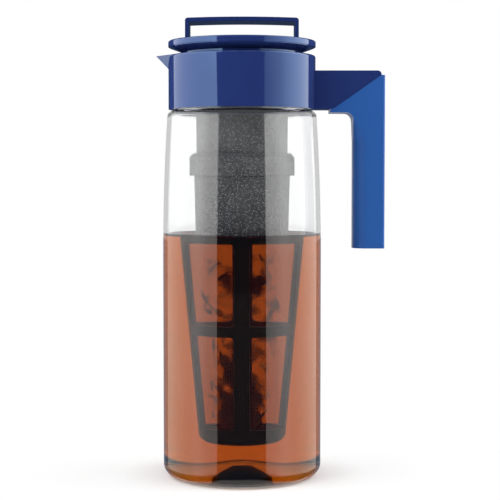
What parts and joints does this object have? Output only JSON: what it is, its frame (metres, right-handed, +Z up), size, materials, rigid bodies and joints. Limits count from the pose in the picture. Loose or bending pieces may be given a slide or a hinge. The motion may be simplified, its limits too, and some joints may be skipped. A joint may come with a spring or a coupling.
{
  "type": "iced tea maker",
  "caption": "Tall clear jar with a spouted collar and an angled soft-grip handle; its bayonet lid has a strap and carries a hanging mesh infuser.",
  "frame": {"origin": "centre of the standing ring under the jar, on the plane that it stands on", "axes": "+Z up along the jar's axis, the spout towards -X and the handle towards +X"},
  "size_m": [0.1447, 0.1008, 0.2915],
  "materials": {
    "jar": "clear, glossy",
    "collar": "polished navy",
    "lid": "polished navy",
    "grip": "soft matte silicone, royal blue",
    "seal": "matte silicone",
    "infuser": "frosted grey",
    "basket": "matte near-black",
    "mesh": "fine woven nylon"
  },
  "bodies": {
    "pitcher": {"jar": "jar", "neck_seal": "seal", "collar": "collar", "handle_core": "collar", "handle_grip": "grip"},
    "lid_seal": {"lid_seal": "seal"},
    "lid": {"lid_plug": "lid", "lid_disc": "lid", "lid_strap": "lid", "tube_gasket": "seal", "infuser_tube": "infuser"},
    "infuser": {"coupling_ring": "infuser", "coupling_gasket": "seal", "infuser_basket": "basket", "lower_mesh": "mesh", "upper_mesh": "mesh"}
  },
  "joints": [
    {"name": "lid_lift", "type": "slide", "parent": "pitcher", "child": "lid_seal", "axis": [0, 0, 1], "range_m": [0, 0.25]},
    {"name": "lid_twist", "type": "hinge", "parent": "lid_seal", "child": "lid", "pos_m": [0, 0, 0.2525], "axis": [0, 0, -1], "range_deg": [0, 60]},
    {"name": "infuser_twist", "type": "hinge", "parent": "lid", "child": "infuser", "pos_m": [0, 0, 0.1962], "axis": [0, 0, -1], "range_deg": [0, 60]}
  ]
}
